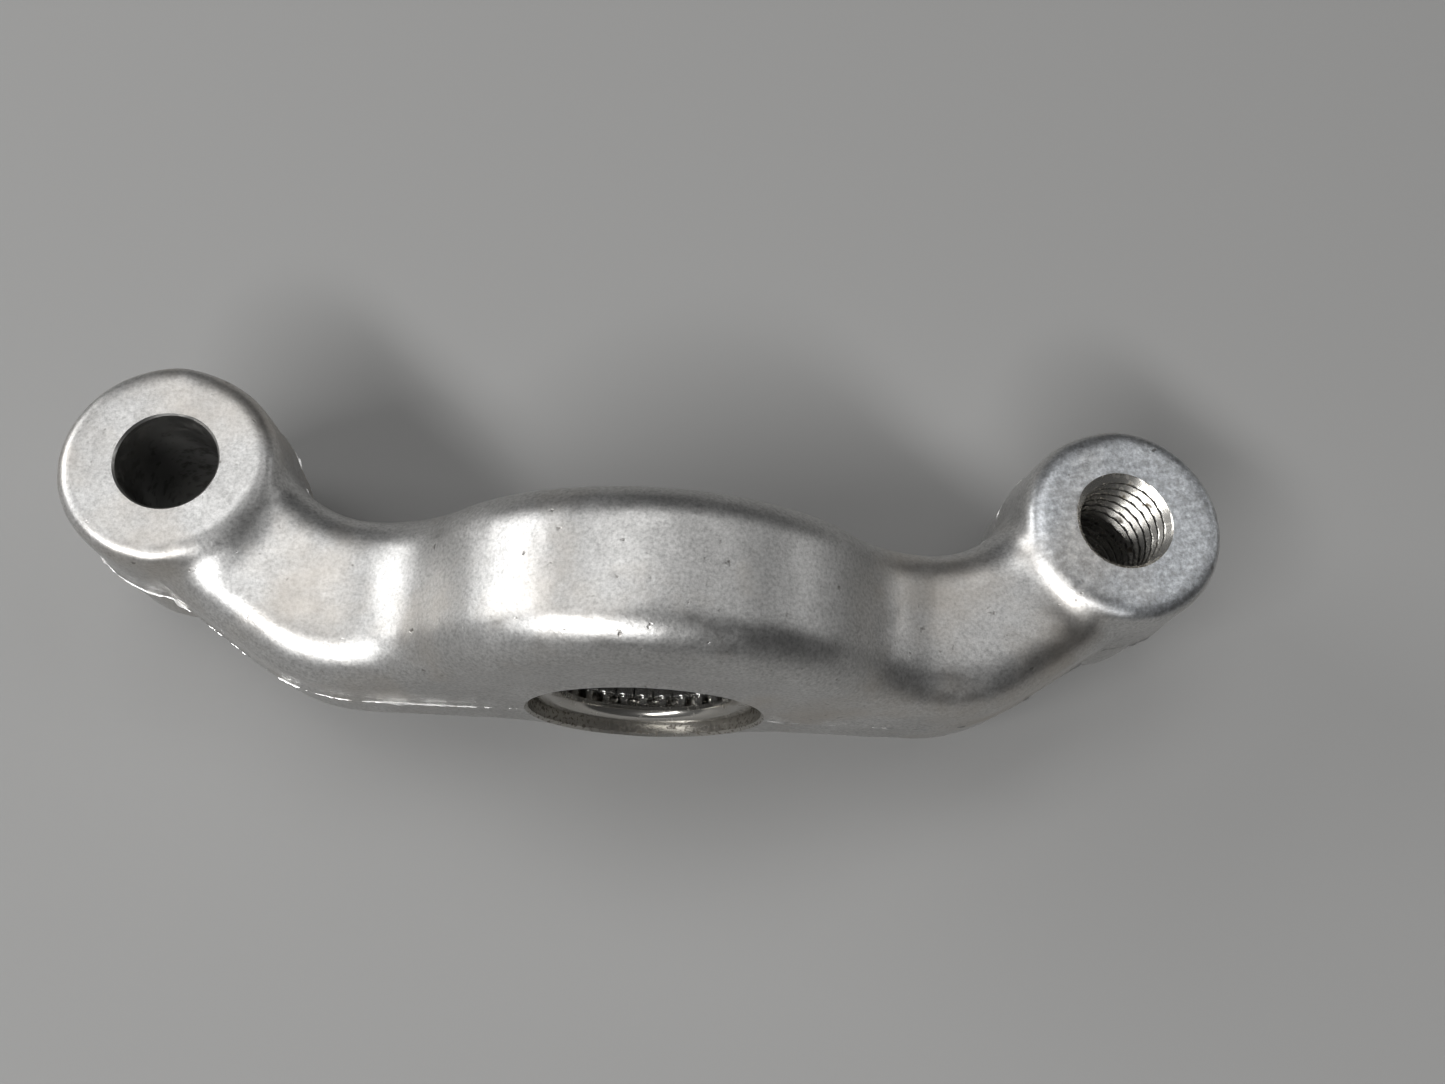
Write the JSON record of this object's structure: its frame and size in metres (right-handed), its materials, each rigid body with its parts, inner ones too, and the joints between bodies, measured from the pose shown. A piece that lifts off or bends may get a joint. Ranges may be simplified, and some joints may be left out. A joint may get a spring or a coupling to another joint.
{
  "type": "rocker lever",
  "caption": "Cast aluminium rocker lever: arched hub with a needle roller pivot bearing, and two swept arms that end in a plain eye and a tapped eye.",
  "frame": {"origin": "middle of the pivot bore, on the bore's axis at half the hub's width", "axes": "+Y along the pivot bore towards the eyes' set-back side, +X from the plain eye to the tapped eye, +Z along the eyes' holes towards the arched top of the hub"},
  "size_m": [0.1092, 0.0293, 0.036],
  "materials": {
    "cast_aluminium": "tumbled die casting, satin",
    "bearing_steel": "drawn and hardened, bright",
    "roller_steel": "ground and lapped"
  },
  "bodies": {
    "lever": {"lever_body": "cast_aluminium", "bearing_cup": "bearing_steel"},
    "roller_01": {"needle_roller_01": "roller_steel"},
    "roller_02": {"needle_roller_02": "roller_steel"},
    "roller_03": {"needle_roller_03": "roller_steel"},
    "roller_04": {"needle_roller_04": "roller_steel"},
    "roller_05": {"needle_roller_05": "roller_steel"},
    "roller_06": {"needle_roller_06": "roller_steel"},
    "roller_07": {"needle_roller_07": "roller_steel"},
    "roller_08": {"needle_roller_08": "roller_steel"},
    "roller_09": {"needle_roller_09": "roller_steel"},
    "roller_10": {"needle_roller_10": "roller_steel"},
    "roller_11": {"needle_roller_11": "roller_steel"},
    "roller_12": {"needle_roller_12": "roller_steel"},
    "roller_13": {"needle_roller_13": "roller_steel"},
    "roller_14": {"needle_roller_14": "roller_steel"},
    "roller_15": {"needle_roller_15": "roller_steel"},
    "roller_16": {"needle_roller_16": "roller_steel"},
    "roller_17": {"needle_roller_17": "roller_steel"},
    "roller_18": {"needle_roller_18": "roller_steel"},
    "roller_19": {"needle_roller_19": "roller_steel"},
    "roller_20": {"needle_roller_20": "roller_steel"},
    "roller_21": {"needle_roller_21": "roller_steel"},
    "roller_22": {"needle_roller_22": "roller_steel"},
    "roller_23": {"needle_roller_23": "roller_steel"},
    "roller_24": {"needle_roller_24": "roller_steel"},
    "roller_25": {"needle_roller_25": "roller_steel"},
    "roller_26": {"needle_roller_26": "roller_steel"},
    "roller_27": {"needle_roller_27": "roller_steel"},
    "roller_28": {"needle_roller_28": "roller_steel"}
  },
  "joints": [
    {"name": "roller_orbit", "type": "hinge", "parent": "lever", "child": "roller_01", "pos_m": [0, 0, 0], "axis": [0, 1, 0], "continuous": true},
    {"name": "roller_02_spin", "type": "hinge", "parent": "roller_01", "child": "roller_02", "pos_m": [0.00878, 0, -0.002], "axis": [0, 1, 0], "continuous": true},
    {"name": "roller_03_spin", "type": "hinge", "parent": "roller_01", "child": "roller_03", "pos_m": [0.00812, 0, -0.00391], "axis": [0, 1, 0], "continuous": true},
    {"name": "roller_04_spin", "type": "hinge", "parent": "roller_01", "child": "roller_04", "pos_m": [0.00704, 0, -0.00562], "axis": [0, 1, 0], "continuous": true},
    {"name": "roller_05_spin", "type": "hinge", "parent": "roller_01", "child": "roller_05", "pos_m": [0.00562, 0, -0.00704], "axis": [0, 1, 0], "continuous": true},
    {"name": "roller_06_spin", "type": "hinge", "parent": "roller_01", "child": "roller_06", "pos_m": [0.00391, 0, -0.00812], "axis": [0, 1, 0], "continuous": true},
    {"name": "roller_07_spin", "type": "hinge", "parent": "roller_01", "child": "roller_07", "pos_m": [0.002, 0, -0.00878], "axis": [0, 1, 0], "continuous": true},
    {"name": "roller_08_spin", "type": "hinge", "parent": "roller_01", "child": "roller_08", "pos_m": [0, 0, -0.00901], "axis": [0, 1, 0], "continuous": true},
    {"name": "roller_09_spin", "type": "hinge", "parent": "roller_01", "child": "roller_09", "pos_m": [-0.002, 0, -0.00878], "axis": [0, 1, 0], "continuous": true},
    {"name": "roller_10_spin", "type": "hinge", "parent": "roller_01", "child": "roller_10", "pos_m": [-0.00391, 0, -0.00812], "axis": [0, 1, 0], "continuous": true},
    {"name": "roller_11_spin", "type": "hinge", "parent": "roller_01", "child": "roller_11", "pos_m": [-0.00562, 0, -0.00704], "axis": [0, 1, 0], "continuous": true},
    {"name": "roller_12_spin", "type": "hinge", "parent": "roller_01", "child": "roller_12", "pos_m": [-0.00704, 0, -0.00562], "axis": [0, 1, 0], "continuous": true},
    {"name": "roller_13_spin", "type": "hinge", "parent": "roller_01", "child": "roller_13", "pos_m": [-0.00812, 0, -0.00391], "axis": [0, 1, 0], "continuous": true},
    {"name": "roller_14_spin", "type": "hinge", "parent": "roller_01", "child": "roller_14", "pos_m": [-0.00878, 0, -0.002], "axis": [0, 1, 0], "continuous": true},
    {"name": "roller_15_spin", "type": "hinge", "parent": "roller_01", "child": "roller_15", "pos_m": [-0.00901, 0, 0], "axis": [0, 1, 0], "continuous": true},
    {"name": "roller_16_spin", "type": "hinge", "parent": "roller_01", "child": "roller_16", "pos_m": [-0.00878, 0, 0.002], "axis": [0, 1, 0], "continuous": true},
    {"name": "roller_17_spin", "type": "hinge", "parent": "roller_01", "child": "roller_17", "pos_m": [-0.00812, 0, 0.00391], "axis": [0, 1, 0], "continuous": true},
    {"name": "roller_18_spin", "type": "hinge", "parent": "roller_01", "child": "roller_18", "pos_m": [-0.00704, 0, 0.00562], "axis": [0, 1, 0], "continuous": true},
    {"name": "roller_19_spin", "type": "hinge", "parent": "roller_01", "child": "roller_19", "pos_m": [-0.00562, 0, 0.00704], "axis": [0, 1, 0], "continuous": true},
    {"name": "roller_20_spin", "type": "hinge", "parent": "roller_01", "child": "roller_20", "pos_m": [-0.00391, 0, 0.00812], "axis": [0, 1, 0], "continuous": true},
    {"name": "roller_21_spin", "type": "hinge", "parent": "roller_01", "child": "roller_21", "pos_m": [-0.002, 0, 0.00878], "axis": [0, 1, 0], "continuous": true},
    {"name": "roller_22_spin", "type": "hinge", "parent": "roller_01", "child": "roller_22", "pos_m": [0, 0, 0.00901], "axis": [0, 1, 0], "continuous": true},
    {"name": "roller_23_spin", "type": "hinge", "parent": "roller_01", "child": "roller_23", "pos_m": [0.002, 0, 0.00878], "axis": [0, 1, 0], "continuous": true},
    {"name": "roller_24_spin", "type": "hinge", "parent": "roller_01", "child": "roller_24", "pos_m": [0.00391, 0, 0.00812], "axis": [0, 1, 0], "continuous": true},
    {"name": "roller_25_spin", "type": "hinge", "parent": "roller_01", "child": "roller_25", "pos_m": [0.00562, 0, 0.00704], "axis": [0, 1, 0], "continuous": true},
    {"name": "roller_26_spin", "type": "hinge", "parent": "roller_01", "child": "roller_26", "pos_m": [0.00704, 0, 0.00562], "axis": [0, 1, 0], "continuous": true},
    {"name": "roller_27_spin", "type": "hinge", "parent": "roller_01", "child": "roller_27", "pos_m": [0.00812, 0, 0.00391], "axis": [0, 1, 0], "continuous": true},
    {"name": "roller_28_spin", "type": "hinge", "parent": "roller_01", "child": "roller_28", "pos_m": [0.00878, 0, 0.002], "axis": [0, 1, 0], "continuous": true}
  ],
  "couplings": [
    {"joint": "roller_02_spin", "follows": "roller_orbit", "ratio": -10.041},
    {"joint": "roller_03_spin", "follows": "roller_orbit", "ratio": -10.041},
    {"joint": "roller_04_spin", "follows": "roller_orbit", "ratio": -10.041},
    {"joint": "roller_05_spin", "follows": "roller_orbit", "ratio": -10.041},
    {"joint": "roller_06_spin", "follows": "roller_orbit", "ratio": -10.041},
    {"joint": "roller_07_spin", "follows": "roller_orbit", "ratio": -10.041},
    {"joint": "roller_08_spin", "follows": "roller_orbit", "ratio": -10.041},
    {"joint": "roller_09_spin", "follows": "roller_orbit", "ratio": -10.041},
    {"joint": "roller_10_spin", "follows": "roller_orbit", "ratio": -10.041},
    {"joint": "roller_11_spin", "follows": "roller_orbit", "ratio": -10.041},
    {"joint": "roller_12_spin", "follows": "roller_orbit", "ratio": -10.041},
    {"joint": "roller_13_spin", "follows": "roller_orbit", "ratio": -10.041},
    {"joint": "roller_14_spin", "follows": "roller_orbit", "ratio": -10.041},
    {"joint": "roller_15_spin", "follows": "roller_orbit", "ratio": -10.041},
    {"joint": "roller_16_spin", "follows": "roller_orbit", "ratio": -10.041},
    {"joint": "roller_17_spin", "follows": "roller_orbit", "ratio": -10.041},
    {"joint": "roller_18_spin", "follows": "roller_orbit", "ratio": -10.041},
    {"joint": "roller_19_spin", "follows": "roller_orbit", "ratio": -10.041},
    {"joint": "roller_20_spin", "follows": "roller_orbit", "ratio": -10.041},
    {"joint": "roller_21_spin", "follows": "roller_orbit", "ratio": -10.041},
    {"joint": "roller_22_spin", "follows": "roller_orbit", "ratio": -10.041},
    {"joint": "roller_23_spin", "follows": "roller_orbit", "ratio": -10.041},
    {"joint": "roller_24_spin", "follows": "roller_orbit", "ratio": -10.041},
    {"joint": "roller_25_spin", "follows": "roller_orbit", "ratio": -10.041},
    {"joint": "roller_26_spin", "follows": "roller_orbit", "ratio": -10.041},
    {"joint": "roller_27_spin", "follows": "roller_orbit", "ratio": -10.041},
    {"joint": "roller_28_spin", "follows": "roller_orbit", "ratio": -10.041}
  ]
}
